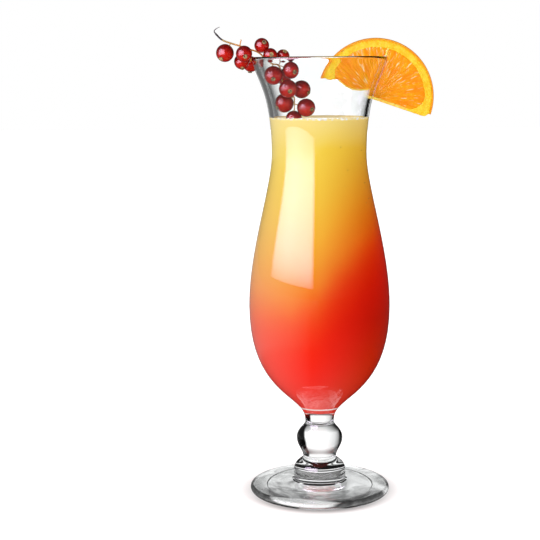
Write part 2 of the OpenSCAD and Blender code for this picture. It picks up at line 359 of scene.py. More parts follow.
# Where that pale colour sets in, and where the flat surface starts and gives way to the meniscus
SURFACE_FADE = ((level_z - 0.5) * MM, (level_z - 0.1) * MM, 0, 0.8)
SURFACE_FROM = ((level_z - 0.1) * MM, (level_z - 0.02) * MM, 0, 1)
SURFACE_TO = ((level_z + 0.02) * MM, (level_z + 0.12) * MM, 1, 0)
# A painted sheen: the flat surface glows pale, most when seen at a low angle
SHEEN = (0.95, 0.95, 0.85, 1)


def radius_at(outline, z):
    """The radius of an outline at a height."""
    for low, high in zip(outline, outline[1:]):
        if low[1] <= z <= high[1]:
            return low[0] + (high[0] - low[0]) * (z - low[1]) / (high[1] - low[1])
    return outline[-1][0]


def mapped(tree, source, low, high, low_value=0, high_value=1):
    """A value carried from one range to another, and held at its ends."""
    return add_node(tree, "MapRange", {
        0: source, 1: low, 2: high, 3: low_value, 4: high_value})


def axes(tree, vector):
    """The three numbers of a vector."""
    node = tree.nodes.new("ShaderNodeSeparateXYZ")
    feed(tree, node, {0: vector})
    return tuple(node.outputs)


def ramped(tree, source, stops, interpolation="LINEAR"):
    """A colour for each place along a value."""
    node = tree.nodes.new("ShaderNodeValToRGB")
    feed(tree, node, {0: source})
    node.color_ramp.interpolation = interpolation
    made = node.color_ramp.elements
    while len(made) < len(stops):
        made.new(0.5)
    for stop, (place, colour) in zip(made, stops):
        stop.position = place
        stop.color = colour
    return node.outputs[0]


def juice_material():
    """Cloudy juice over red syrup: the colour climbs with height and drifts, and slants to one side
    as painted shade on the right and painted light on the left, with a painted highlight low down
    and a painted sheen on the flat top.
    """
    material, tree, shader = new_material("layered_drink", {
        "Roughness": 0.45, "IOR": 1.1, "Specular IOR Level": 0.05,
        "Coat IOR": 1.35, "Coat Roughness": 0.03, "Emission Strength": 1})
    place = coords(tree)
    x, _, z = axes(tree, place)
    left = add_node(tree, "Clamp", {0: x, 1: -LIGHT_RISE_TO, 2: 0})
    height = calc(tree, "MULTIPLY_ADD", calc(tree, "MAXIMUM", x, 0), -SHADE_DROP_RIGHT, z)
    height = calc(tree, "MULTIPLY_ADD", left, -LIGHT_RISE_LEFT, height)
    drift = noise(tree, place, scale=22, detail=3, roughness=0.45)
    height = calc(tree, "MULTIPLY_ADD", drift, DRIFT, height)
    low, high = DRINK_COLOURS[0][0] * MM, DRINK_COLOURS[-1][0] * MM
    stops = [((mm * MM - low) / (high - low), (*colour, 1)) for mm, colour in DRINK_COLOURS]
    height = mapped(tree, height, low + DRIFT / 2, high + DRIFT / 2)
    colour = ramped(tree, height, stops, "B_SPLINE")
    for blend_type, painted_tone, across, up in PAINTED_SIDE_SHADING:
        share = times(tree, mapped(tree, x, *across), mapped(tree, z, *up))
        colour = blended(tree, share, colour, painted_tone, blend_type)
    from_glint = calc(tree, "ABSOLUTE", calc(tree, "SUBTRACT", z, BASE_GLINT_Z * MM))
    colour = blended(tree, mapped(tree, from_glint, *BASE_GLINT), colour, BASE_GLINT_WHITE)
    colour = blended(tree, mapped(tree, z, *TOP_PALER), colour, TOP_PALE)
    colour = blended(tree, mapped(tree, z, *SURFACE_FADE), colour, SURFACE_PALE)
    flat = times(tree, mapped(tree, z, *SURFACE_FROM), mapped(tree, z, *SURFACE_TO))
    facing = add_node(tree, "LayerWeight", {}, "Facing")
    sheen = times(tree, flat, calc(tree, "POWER", facing, 3))
    feed(tree, shader, {"Base Color": colour, "Coat Weight": flat,
                        "Emission Color": blended(tree, sheen, (0, 0, 0, 1), SHEEN)})
    return material


side = [p for p in moved_in(cavity, -WET) if p[1] < level_z]
level_r = radius_at(cavity, level_z) + WET
meniscus = cubic([(level_r, level_z + meniscus_h), (level_r - 0.3 * meniscus_r, level_z),
                  (level_r - 0.6 * meniscus_r, level_z), (level_r - meniscus_r, level_z)], 6)
drink_outline = side + meniscus + [Vector((0.5 * level_r, level_z)), Vector((0, level_z))]
drink = turned_piece("layered_drink", drink_outline)
drink.data.materials.append(juice_material())
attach(drink, "glass")
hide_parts("grenadine", "blended_layer", "orange_juice")

# The bubbles
# Small bubbles have gathered where the juice meets the front of the glass, and a few cling to the
# wall below. Each is a bead of froth or air, pressed flat against the glass.
LINE_BUBBLES = 44
line_arc = (196, 346)
line_sizes = (0.28, 0.62)
line_spread = (0.1, 0.9)
line_heights = (0.1, 0.8)
line_widths = (1, 1.6)
BEAD_FLATNESS = 0.8
BUBBLE_SUNK = 0.2
# Bigger bubbles: angle and radius
BIG_BUBBLE_H, BIG_BUBBLE_UP = 0.6, 0.2
BIG_BUBBLES = ((276, 1.5), (271, 1.0), (299, 1.1), (304, 0.8), (235, 0.9), (218, 0.7), (322, 1.0))
# Bubbles lower down: angle, height and radius
WALL_BUBBLES = ((-25, 182.5, 0.3), (-27, 175.9, 0.22), (-24, 165.7, 0.32), (-26, 163.1, 0.2),
                (-21, 157.5, 0.34), (-29, 155.7, 0.26), (-62, 184.8, 0.3), (-53, 173, 0.3),
                (-59, 165, 0.22))
# Froth is creamy, with white patches as painted highlights where the beads catch light. Air under
# juice is amber, with dark patches of painted shade.
FROTH_COLOURS = ((0.4, (0.92, 0.76, 0.4, 1)), (0.52, (1, 1, 0.98, 1)))
AIR_COLOURS = ((0.4, (0.12, 0.05, 0.01, 1)), (0.6, (0.8, 0.45, 0.08, 1)))


def mottled_material(name, values, stops, scale, detail, strength=0, depth=0):
    """A material whose colour, and relief if it has any, follow the same patches."""
    material, tree, shader = new_material(name, values)
    patches = noise(tree, coords(tree), scale, detail)
    feed(tree, shader, {"Base Color": ramped(tree, patches, stops)})
    if strength:
        feed(tree, shader, {"Normal": relief(tree, patches, strength, depth)})
    return material


def add_bubble(angle, z, width, height):
    """One bubble, half sunk into the side of the juice, in degrees and millimetres."""
    turn = math.radians(angle)
    out = radius_at(cavity, z) + WET - BUBBLE_SUNK * height
    place = Vector((out * math.cos(turn), out * math.sin(turn), z)) * MM
    bpy.ops.mesh.primitive_uv_sphere_add(segments=12, ring_count=8, radius=height * MM,
                                         rotation=(0, 0, turn), location=place)
    obj = bpy.context.object
    obj.scale = (1, width / height, 1)
    bpy.ops.object.transform_apply()
    return obj


def join(objs, name):
    """Joins objects into one, at the origin."""
    only(objs[0])
    for obj in objs:
        obj.select_set(True)
    bpy.ops.object.join()
    objs[0].name = objs[0].data.name = name
    bpy.ops.object.transform_apply()
    return objs[0]


dice = random.Random(7)
line_step = (line_arc[1] - line_arc[0]) / LINE_BUBBLES
froth = []
for i in range(LINE_BUBBLES):
    r = dice.uniform(*line_sizes)
    angle = line_arc[0] + (i + dice.uniform(*line_spread)) * line_step
    z = level_z + dice.uniform(*line_heights)
    froth.append(add_bubble(angle, z, r * dice.uniform(*line_widths), BEAD_FLATNESS * r))
froth += [add_bubble(angle, level_z + BIG_BUBBLE_UP, r, BIG_BUBBLE_H) for angle, r in BIG_BUBBLES]
line = join(froth, "froth_line")
line.data.materials.append(
    mottled_material("bubble_film", {"Roughness": 0.15}, FROTH_COLOURS, scale=900, detail=2))
specks = join([add_bubble(angle, z, r, r) for angle, z, r in WALL_BUBBLES], "air_specks")
specks.data.materials.append(
    mottled_material("air_bubble", {"Roughness": 0.1}, AIR_COLOURS, scale=700, detail=2))
for obj, node in ((line, "surface_bubbles"), (specks, None)):
    only(obj)
    bpy.ops.object.shade_smooth()
    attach(obj, "glass")
    if node:
        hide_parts(node)

# The slice's zest
# A thick slice cut just past the middle of an orange, with a slot that straddles the glass's wall.
# Its zest is the thin coloured skin, dimpled with oil glands.
orange_r = 30
slice_t = 6.6
zest_t = 1.0
# How far above the straight cut the zest ends on the right, in degrees
zest_end_up = 4
slot_depth = 23
slot_offset = 1.9
centre_above_cut = 1.6
slot_end = wall / 2 + 0.3
cut_z = slot_end - slot_depth
slice_middle = Vector((slot_offset, cut_z + centre_above_cut))
slot_low_r = radius_at(outer_wall, rim_z - slot_depth)
slot_lean = math.atan2(rim_bead[0] - slot_low_r + wall / 2, rim_bead[1] - rim_z + slot_depth)
ON_RIM = (Matrix.Translation((rim_bead[0] * MM, 0, rim_bead[1] * MM))
          @ Matrix.Rotation(slot_lean, 4, "Y"))
ZEST_DARK = (0.93, 0.3, 0.003, 1)
ZEST_LIGHT = (0.97, 0.4, 0.006, 1)
ARC_RADIUS = 0.02


def put_on_rim(obj):
    """Moves a finished piece of the slice from its drawing to the rim."""
    only(obj)
    obj.matrix_world = ON_RIM
    bpy.ops.object.transform_apply()


def filled_shape(name, places):
    """Starts a piece in edit mode as a face with its corners at these places."""
    steps = [b - a for a, b in zip(places, places[1:] + places[:1])]
    obj = drawn_line(name, places[0], steps)
    bpy.ops.mesh.remove_doubles(threshold=SAME_PLACE)
    bpy.ops.mesh.edge_face_add()
    return obj


def ring_piece(name, section, start, end, steps):
    """Spins a closed section of radius and depth about the orange's middle, between two angles."""
    middle = Vector((slice_middle[0], 0, slice_middle[1])) * MM
    turn = math.radians(start)
    obj = filled_shape(name, [middle + MM * Vector((r * math.cos(turn), y, r * math.sin(turn)))
                              for r, y in section])
    bpy.ops.mesh.spin(steps=steps, angle=math.radians(end - start), center=middle, axis=(0, 1, 0))
    close_piece(SAME_PLACE)
    return obj


def apply_modifier(obj, kind, **values):
    """Adds a modifier, sets it and applies it."""
    only(obj)
    bpy.ops.object.modifier_add(type=kind)
    modifier = obj.modifiers[-1]
    for key, value in values.items():
        setattr(modifier, key, value)
    bpy.ops.object.modifier_apply(modifier=modifier.name)


def vector_calc(tree, operation, *values):
    """A vector or a number worked out from vectors."""
    output = "Value" if operation in ("LENGTH", "DOT_PRODUCT") else "Vector"
    return add_node(tree, "VectorMath", dict(enumerate(values)), output, operation=operation)


def fruit_radial():
    """Coordinates round the orange's middle: out along the radius, along the arc, and in depth."""
    group = bpy.data.node_groups.new("fruit_radial", "ShaderNodeTree")
    group.interface.new_socket("Radial", in_out="OUTPUT", socket_type="NodeSocketVector")
    middle = ON_RIM @ Vector((slice_middle[0] * MM, 0, slice_middle[1] * MM))
    moved = vector_calc(group, "SUBTRACT", coords(group), middle)
    turned = add_node(group, "VectorRotate", {"Vector": moved, "Angle": -slot_lean},
                      rotation_type="Y_AXIS")
    x, y, z = axes(group, turned)
    radius = vector_calc(group, "LENGTH", add_node(group, "CombineXYZ", {"X": x, "Z": z}))
    along = times(group, calc(group, "ARCTAN2", z, x), ARC_RADIUS)
    radial = add_node(group, "CombineXYZ", {"X": radius, "Y": along, "Z": y})
    feed(group, group.nodes.new("NodeGroupOutput"), {"Radial": radial})
    return group


def zest_material():
    """Orange skin: fine oil glands, and a colour that drifts from deep to bright orange."""
    material, tree, shader = new_material("orange_zest", {
        "Roughness": 0.38, "Specular IOR Level": 0.25,
        "Subsurface Weight": 0.2, "Subsurface Scale": 0.001})
    place = coords(tree)
    drift = noise(tree, place, scale=240, detail=4)
    glands = add_node(tree, "TexVoronoi", {"Vector": place, "Scale": 900}, "Distance")
    feed(tree, shader, {"Base Color": ramped(tree, drift, ((0.3, ZEST_DARK), (0.7, ZEST_LIGHT))),
                        "Normal": relief(tree, glands, strength=0.5, depth=0.0002)})
    return material


RADIAL = fruit_radial()
ragged_low = Vector((-28.2, -19.6))
zest_half = slice_t / 2
zest_edge = zest_half - 0.05
# Round the zest's section: how deep under the skin, and where across the slice
zest_section = [(orange_r - depth, across) for depth, across in (
    (zest_t + 0.15, -zest_edge), (0.55, -zest_edge), (0.2, -0.75 * zest_half), (0.05, 0),
    (0.2, 0.75 * zest_half), (0.55, zest_edge), (zest_t + 0.15, zest_edge))]
right_angle = math.degrees(math.asin(-centre_above_cut / orange_r))
left_angle = 180 + math.degrees(math.asin((slice_middle[1] - ragged_low[1]) / orange_r))
zest = ring_piece("orange_zest", zest_section, right_angle + zest_end_up, left_angle, steps=72)
put_on_rim(zest)
bpy.ops.object.shade_smooth_by_angle(angle=math.radians(50))
zest.data.materials.append(zest_material())
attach(zest, "orange_slice")
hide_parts("slice_zest")

# The slice's pith
# The spongy layer under the zest, golden where the oil has soaked in and paler towards the flesh.
# It is thicker in the corners, and torn a little at the end that hangs in the glass.
PITH_GOLD = (0.94, 0.52, 0.006, 1)
PITH_PALE = (0.97, 0.7, 0.05, 1)
PITH_NEAR_RIND = ((orange_r - 2.2) * MM, (orange_r - 0.9) * MM, 0, -0.35)
pith_half = 3.15
pith_voxel = 0.00035
pith_end_up = 5
# How far its outline stays above the straight cut, to leave room for lumps
cut_room = 0.1
cut_membrane_t = 1.3
corner_r = 7
pith_r = orange_r - zest_t
flesh_r = pith_r - 3.9
flesh_low = cut_z + cut_membrane_t
corner_up = corner_r + flesh_low - slice_middle[1]
corner_out = math.sqrt((flesh_r - corner_r) ** 2 - corner_up ** 2)
corner_angle = math.degrees(math.atan2(corner_up, corner_out))
left_corner = slice_middle + Vector((-corner_out, corner_up))
right_corner = slice_middle + Vector((corner_out, corner_up))
left_corner_end = 216
left_flesh_side = arc(left_corner, corner_r, left_corner_end, 180 - corner_angle, 6)
flesh_top = arc(slice_middle, flesh_r, 180 - corner_angle, corner_angle, 40)
right_flesh_side = arc(right_corner, corner_r, corner_angle, -90, 10)
# How far the flesh reaches into the pith
FLESH_OVERLAP = 0.4
torn_pith = [Vector(p) for p in ((-26.9, -19.4), (-25.7, -18.7), (-23.9, -19.1), (-22.4, -18.8),
                                 (-21.6, -17.7), (-20.9, -18.2), (-20.0, -17.6))]


def slab(name, outline, half_t):
    """Fills an outline drawn on the slice in millimetres, and gives it the slice's thickness."""
    obj = filled_shape(name, [Vector((p[0] * MM, -half_t * MM, p[1] * MM)) for p in outline])
    bpy.ops.mesh.extrude_region_move(TRANSFORM_OT_translate={"value": (0, 2 * half_t * MM, 0)})
    close_piece(SAME_PLACE)
    return obj


def soften(obj, voxel, rounds, lump_size, lump_depth):
    """Remeshes a piece evenly, rounds its edges and gives it lumps."""
    apply_modifier(obj, "REMESH", mode="VOXEL", voxel_size=voxel)
    apply_modifier(obj, "SMOOTH", factor=0.5, iterations=rounds)
    lumps = bpy.data.textures.new(obj.name + "_lumps", "CLOUDS")
    lumps.noise_scale = lump_size
    apply_modifier(obj, "DISPLACE", texture=lumps, texture_coords="LOCAL", strength=lump_depth,
                   mid_level=0.5)
    bpy.ops.object.shade_smooth()


def pith_material():
    """Spongy pith: golden, blotched with paler patches that follow the rind."""
    material, tree, shader = new_material("orange_pith", {
        "Roughness": 0.5, "Specular IOR Level": 0.12,
        "Subsurface Weight": 0.3, "Subsurface Scale": 0.0015})
    radial = add_node(tree, "Group", {}, node_tree=RADIAL)
    blotches = noise(tree, radial, scale=330, detail=5, roughness=0.6)
    near_rind = mapped(tree, axes(tree, radial)[0], *PITH_NEAR_RIND)
    colour = ramped(tree, calc(tree, "ADD", blotches, near_rind),
                    ((0.12, ZEST_LIGHT), (0.34, PITH_GOLD), (0.66, PITH_PALE)))
    feed(tree, shader, {"Base Color": colour,
                        "Normal": relief(tree, blotches, strength=0.5, depth=0.0004)})
    return material


pith_outer = arc(slice_middle, pith_r, right_angle + pith_end_up, left_angle, 60)
pith_outline = pith_outer + torn_pith + left_flesh_side + flesh_top[1:] + right_flesh_side[1:]
pith_outline += [Vector((x, cut_z + cut_room))
                 for x in (right_corner[0], slice_middle[0] + pith_r - 2)]
pith = slab("orange_pith", pith_outline, pith_half)
soften(pith, pith_voxel, rounds=5, lump_size=0.0016, lump_depth=0.0005)
put_on_rim(pith)
pith.data.materials.append(pith_material())
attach(pith, "orange_slice")
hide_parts("slice_pith")

# The slice's flesh
# Two lobes of wet juice vesicles that run out from the orange's middle, parted by the slot and the
# membrane above it. The inner lobe bulges below its cut edge, and the glass's wall presses on both.
PULP_DEEP = (0.95, 0.27, 0.001, 1)
PULP_BRIGHT = (0.99, 0.4, 0.002, 1)
PULP_GLINT = (1, 0.78, 0.42, 1)
# How far the vesicles stray, and how many of them and of their glints there are to the metre, along
# the radius, along the arc and in depth
PULP_STRAY = (0.004, 0.0016, 0.001)
PULP_CELLS = (170, 720, 420)
PULP_GLINTS = (210, 1100, 500)
GLINT_SHARE = (0.64, 0.74, 0, 0.75)
flesh_half = 3.1
flesh_voxel = 0.00035
membrane_half = 0.4
# The seat over the rim, on the outer and on the inner side, and the height where they meet
SEAT_OUTER = ((1.25, 0.1), (0.9, 1.05))
SEAT_INNER = ((-1.4, 0.1), (-1.0, 1.05))
SEAT_ABOVE = 1.35
# How deep the glass's wall presses into the lobes, and the height where their sides end
PRESSED_OUTER, PRESSED_INNER = 0.12, 0.32
SIDE_TOP_Z = -1.5
bulging_edge = [Vector(p) for p in ((-18.9, -17.4), (-17.0, -18.2), (-14.1, -19.3), (-11.5, -19.6),
                                    (-8.3, -19.3), (-5.0, -18.2), (-2.4, -17.0))]


def on_slice(outline, low_z, high_z):
    """An outline of the glass, seen in the slice's own drawing, between two heights there."""
    made = []
    for point in outline:
        x, z = point[0] - rim_bead[0], point[1] - rim_bead[1]
        place = Vector((x * math.cos(slot_lean) - z * math.sin(slot_lean),
                        x * math.sin(slot_lean) + z * math.cos(slot_lean)))
        if low_z < place[1] < high_z:
            made.append(place)
    return made


def pulp_material():
    """Juice vesicles: long cells along the radius, deep orange between, with wet glints."""
    material, tree, shader = new_material("orange_pulp", {
        "Roughness": 0.3, "Specular IOR Level": 0.16,
        "Subsurface Weight": 0.1, "Subsurface Scale": 0.001})
    radial = add_node(tree, "Group", {}, node_tree=RADIAL)
    wander = add_node(tree, "TexNoise", {"Vector": radial, "Scale": 160, "Detail": 2}, "Color")
    strayed = vector_calc(tree, "MULTIPLY_ADD", wander, PULP_STRAY, radial)
    cells = vector_calc(tree, "MULTIPLY", strayed, PULP_CELLS)
    cells = add_node(tree, "TexVoronoi", {"Vector": cells, "Scale": 1, "Smoothness": 0.4},
                     "Distance", feature="SMOOTH_F1")
    glints = noise(tree, vector_calc(tree, "MULTIPLY", strayed, PULP_GLINTS),
                   scale=1, detail=1, roughness=0.4)
    colour = ramped(tree, cells, ((0.1, PULP_BRIGHT), (0.75, PULP_DEEP)))
    colour = blended(tree, mapped(tree, glints, *GLINT_SHARE), colour, PULP_GLINT)
    feed(tree, shader, {"Base Color": colour,
                        "Normal": relief(tree, cells, strength=0.7, depth=0.0007, invert=True)})
    return material


def top_of_flesh(x):
    """The height of the flesh's round edge at a place along the slice."""
    return slice_middle[1] + math.sqrt((flesh_r + FLESH_OVERLAP) ** 2 - (x - slice_middle[0]) ** 2)


def seat(corners, x):
    """A lobe's outline over the rim, and up along the membrane to its round edge."""
    return [Vector(p) for p in corners + ((x, SEAT_ABOVE), (x, top_of_flesh(x)))]


PULP = pulp_material()
wide_top = arc(slice_middle, flesh_r + FLESH_OVERLAP, 180 - corner_angle, corner_angle, 40)
outer_side = on_slice(moved_in(outer_wall, -PRESSED_OUTER), flesh_low, SIDE_TOP_Z)
inner_side = on_slice(moved_in(outer_wall, wall + PRESSED_INNER), bulging_edge[-1][1], SIDE_TOP_Z)
outer_outline = outer_side + seat(SEAT_OUTER, membrane_half)
outer_outline += [p for p in wide_top if p[0] > membrane_half + 0.3]
outer_outline += arc(right_corner, corner_r + FLESH_OVERLAP, corner_angle, -80, 10)[1:]
outer_outline.append(Vector((outer_side[0][0], flesh_low)))
inner_outline = inner_side + seat(SEAT_INNER, -membrane_half)
inner_outline += [p for p in wide_top[::-1] if p[0] < -membrane_half - 0.3]
inner_outline += arc(left_corner, corner_r + FLESH_OVERLAP, 180 - corner_angle, left_corner_end,
                     6)[1:] + bulging_edge
for name, outline, node in (("flesh_outer", outer_outline, "slice_pulp_outer"),
                            ("flesh_inner", inner_outline, "slice_pulp_inner")):
    flesh = slab(name, outline, flesh_half)
    soften(flesh, flesh_voxel, rounds=6, lump_size=0.0022, lump_depth=0.0004)
    put_on_rim(flesh)
    flesh.data.materials.append(PULP)
    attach(flesh, "orange_slice")
    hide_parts(node)

# The slice's membranes
# The pale skin, streaked with gold, that parts the flesh: along the straight cut, over the inner
# lobe's torn edge, and up from the slot to the pith. A few strands hang at the foot of the slot.
MEMBRANE_LOOK = {"Roughness": 0.35, "Specular IOR Level": 0.3, "Subsurface Weight": 0.4,
                 "Subsurface Scale": 0.001}
MEMBRANE_COLOURS = ((0.35, (0.94, 0.52, 0.02, 1)), (0.62, (0.97, 0.76, 0.16, 1)))
strand_ends = (((-2.0, -16.6), (-3.6, -18.9)), ((-1.6, -16.4), (-1.9, -19.8)),
               ((-5.2, -17.9), (-6.6, -19.6)), ((1.6, -19.6), (0.9, -20.6)),
               ((-9.5, -19.2), (-10.4, -20.2)))
strand_r = 0.28
membrane_voxel = 0.0002
# How far the skins reach below the flesh's torn edge, and up into the flesh and the pith
SKIN_BELOW, SKIN_INTO = 0.45, 0.3


def strand(start, end):
    """A thin tapering strand between two places on the slice, in millimetres."""
    a, b = (Vector((p[0], -0.6 * flesh_half, p[1])) * MM for p in (start, end))
    bpy.ops.mesh.primitive_cone_add(
        vertices=8, radius1=strand_r * MM, radius2=0.3 * strand_r * MM, depth=(b - a).length,
        location=(a + b) / 2, rotation=(b - a).to_track_quat("Z", "Y").to_euler())
    return bpy.context.object


strip_start, strip_end = outer_side[0][0], right_corner[0] + 0.5
cut_strip = [(strip_start - 0.1, cut_z + cut_room), (strip_end, cut_z + cut_room),
             (strip_end, flesh_low + 0.2), (strip_start, flesh_low + 0.2)]
torn_edge = [p + Vector((0, -SKIN_BELOW)) for p in bulging_edge]
torn_edge += [p + Vector((0, SKIN_INTO)) for p in bulging_edge[::-1]]
upright_x, upright_top = membrane_half + 0.1, top_of_flesh(0) + SKIN_INTO
upright = [(-upright_x, SEAT_ABOVE), (upright_x, SEAT_ABOVE),
           (upright_x, upright_top), (-upright_x, upright_top)]
skins = [slab("membrane", [Vector(p) for p in outline], flesh_half - 0.1)
         for outline in (cut_strip, torn_edge, upright)]
skins += [strand(start, end) for start, end in strand_ends]
membrane = join(skins, "orange_membrane")
soften(membrane, membrane_voxel, rounds=2, lump_size=0.0012, lump_depth=0.0003)
put_on_rim(membrane)
membrane.data.materials.append(mottled_material("orange_membrane", MEMBRANE_LOOK, MEMBRANE_COLOURS,
                                                scale=420, detail=4, strength=0.4, depth=0.0003))
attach(membrane, "orange_slice")
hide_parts("slice_membrane")

# The sprig's stalk
# A woody stalk torn off at its dry black end. It turns over the rim and hangs into the glass, with
# a short green stalk to each berry and two bare twigs.
STALK = ((-52.95, -0.98, 241.97), (-49.92, -0.49, 239.02), (-45.25, 0, 237.13),
         (-40.74, 0.49, 235.74), (-35.08, 0.98, 233.77), (-32.06, 1.48, 232.79),
         (-29.68, 2.46, 231.15), (-27.9, 3.53, 229.02), (-24.39, 4.02, 226.47),
         (-20.88, 1.97, 225.57), (-18.7, 0.98, 217.54), (-13.0, 0.98, 209.83),
         (-12.81, 0.49, 205.97))
# The joint of the stalk where each berry's own stalk starts, and how that one bows
JOINT_OF = (2, 3, 3, 4, 5, 7, 9, 8, 9, 9, 10, 10, 11, 12, 12)
PEDICEL_BOW = (0.15, 0.2, 0.25)
# Places and radii of the twigs without a berry
BARE_TWIGS = (
    ((STALK[0], (-53.6, -1.3, 243.2), (-52.3, -2.0, 244.6), (-50.6, -2.4, 245.3)),
     (0.36, 0.26, 0.2, 0.1)),
    ((STALK[3], (-40.3, 0.2, 237.3), (-39.9, 0, 238.9)), (0.34, 0.3, 0.34)))
stalk_r = 0.48
stalk_low_r = 0.36
pedicel_r = 0.27
# Along a berry's stalk, shares of that radius, and where it ends, as a share of the berry's radius
PEDICEL_WIDTHS = (1, 0.85, 1.25)
PEDICEL_END = 0.97
STALK_BLACK = (0.012, 0.008, 0.006, 1)
STALK_OLIVE = (0.42, 0.27, 0.05, 1)
STALK_ORANGE = (0.72, 0.3, 0.03, 1)
STALK_GREEN = (0.6, 0.36, 0.1, 1)
# Where these colours start and end along the glass, and how far they stray
STALK_RUN, STALK_STRAY = (-0.05, -0.014), 0.008


def tube(places, radii):
    """A round twig through places in millimetres, made from a curve and turned into a mesh."""
    bpy.ops.curve.primitive_bezier_curve_add(location=(0, 0, 0))
    curve = bpy.context.object.data
    curve.dimensions = "3D"
    curve.bevel_depth = MM
    curve.bevel_resolution = 3
    curve.resolution_u = 6
    curve.use_fill_caps = True
    line = curve.splines[0]
    line.bezier_points.add(len(places) - 2)
    for knot, place, r in zip(line.bezier_points, places, radii):
        knot.co = Vector(place) * MM
        knot.radius = r
        knot.handle_left_type = knot.handle_right_type = "AUTO"
    bpy.ops.object.convert(target="MESH")
    return bpy.context.object


def stalk_material():
    """Twig bark: black at the torn end, then olive, orange and green, finely ribbed and specked."""
    material, tree, shader = new_material("currant_stalk", {"Roughness": 0.55})
    place = coords(tree)
    specks = noise(tree, place, scale=900, detail=4)
    along = calc(tree, "MULTIPLY_ADD", specks, STALK_STRAY, axes(tree, place)[0])
    colour = ramped(tree, mapped(tree, along, *STALK_RUN), (
        (0, STALK_BLACK), (0.09, STALK_BLACK), (0.16, STALK_OLIVE),
        (0.34, STALK_ORANGE), (0.56, STALK_ORANGE), (0.8, STALK_GREEN)))
    feed(tree, shader, {"Base Color": colour,
                        "Normal": relief(tree, specks, strength=0.6, depth=0.0003)})
    return material


berry_boxes = [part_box(f"berry_{i + 1:02d}") for i in range(len(JOINT_OF))]
berry_middles = [(low + high) / 2 / MM for low, high in berry_boxes]
berry_radii = [(high[2] - low[2]) / 2 / MM for low, high in berry_boxes]
stalk_ways = [(Vector(STALK[j]) - m).normalized() for j, m in zip(JOINT_OF, berry_middles)]
steps = len(STALK) - 1
twigs = [tube(STALK, [stalk_r + (stalk_low_r - stalk_r) * i / steps for i in range(steps + 1)])]
for middle, r, way, joint in zip(berry_middles, berry_radii, stalk_ways, JOINT_OF):
    start, end = Vector(STALK[joint]), middle + PEDICEL_END * r * way
    bow = (start + end) / 2 + Vector(PEDICEL_BOW)
    twigs.append(tube((start, bow, end), [share * pedicel_r for share in PEDICEL_WIDTHS]))
twigs += [tube(places, radii) for places, radii in BARE_TWIGS]
stalk = join(twigs, "currant_stalk")
bpy.ops.object.shade_smooth()
stalk.data.materials.append(stalk_material())
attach(stalk, "currant_sprig")
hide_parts("sprig_stalk")

# The berries
# Fifteen red currants with thin, see-through skins, drawn in a little at both ends. Faint veins run
# from the stalk to the dried flower.
BERRY_DEEP = (0.24, 0.0015, 0.002, 1)
BERRY_LIT = (0.6, 0.01, 0.004, 1)
# Painted shade at the berry's edges
BERRY_EDGE_SHADE = (0.05, 0.0005, 0.001, 1)
BERRY_VEIN = (0.62, 0.09, 0.05, 1)
# The side that is lit from within
BERRY_LIT_WAY = (0.15, -0.45, -0.88)
VEINS, VEIN_STRAY, VEIN_SHARE = 14, 0.03, (0.09, 0, 0, 0.22)
# How far the dried flowers turn to the front
flower_turn = 1.0


def berry_material():
    """Currant skin: glossy deep red, with painted light at its lower side as if lit from within,
    painted shade at its edges, and faint veins.
    """
    material, tree, shader = new_material("red_currant", {
        "Roughness": 0.16, "Specular IOR Level": 0.4, "Subsurface Weight": 0.2,
        "Subsurface Radius": (1, 0.1, 0.05), "Subsurface Scale": 0.002})
    mottle = noise(tree, coords(tree), scale=420, detail=3)
    low_side = vector_calc(tree, "DOT_PRODUCT", coords(tree, "Normal"), BERRY_LIT_WAY)
    lit = calc(tree, "MULTIPLY_ADD", low_side, 0.9, mottle)
    colour = ramped(tree, lit, ((0.35, BERRY_DEEP), (1, BERRY_LIT)))
    around = calc(tree, "MULTIPLY_ADD", mottle, VEIN_STRAY, axes(tree, coords(tree, "UV"))[0])
    from_vein = calc(tree, "PINGPONG", times(tree, around, VEINS), 0.5)
    colour = blended(tree, mapped(tree, from_vein, *VEIN_SHARE), colour, BERRY_VEIN)
    facing = add_node(tree, "LayerWeight", {"Blend": 0.35}, "Facing")
    feed(tree, shader, {"Base Color": blended(tree, facing, colour, BERRY_EDGE_SHADE)})
    return material


def push_pole(obj, index, depth, reach):
    """Pushes one pole of a unit berry in, and draws the skin around it along."""
    only(obj)
    for vertex in obj.data.vertices:
        vertex.select = vertex.index == index
    bpy.ops.object.mode_set(mode="EDIT")
    bpy.ops.mesh.select_mode(type="VERT")
    bpy.ops.transform.translate(value=(0, 0, depth), use_proportional_edit=True,
                                proportional_edit_falloff="SMOOTH", proportional_size=reach)
    bpy.ops.object.mode_set(mode="OBJECT")


def copy_to(model, name, middle, way, size):
    """A copy of a piece with a mesh of its own, in its place, with a random turn about its way."""
    turn = way.to_track_quat("Z", "Y").to_matrix().to_4x4()
    turn @= Matrix.Rotation(turn_dice.uniform(0, 6), 4, "Z")
    obj = model.copy()
    obj.data = model.data.copy()
    obj.name = obj.data.name = name
    scene.collection.objects.link(obj)
    only(obj)
    obj.matrix_world = Matrix.Translation(middle * MM) @ turn @ Matrix.Scale(size * MM, 4)
    bpy.ops.object.transform_apply()
    return obj


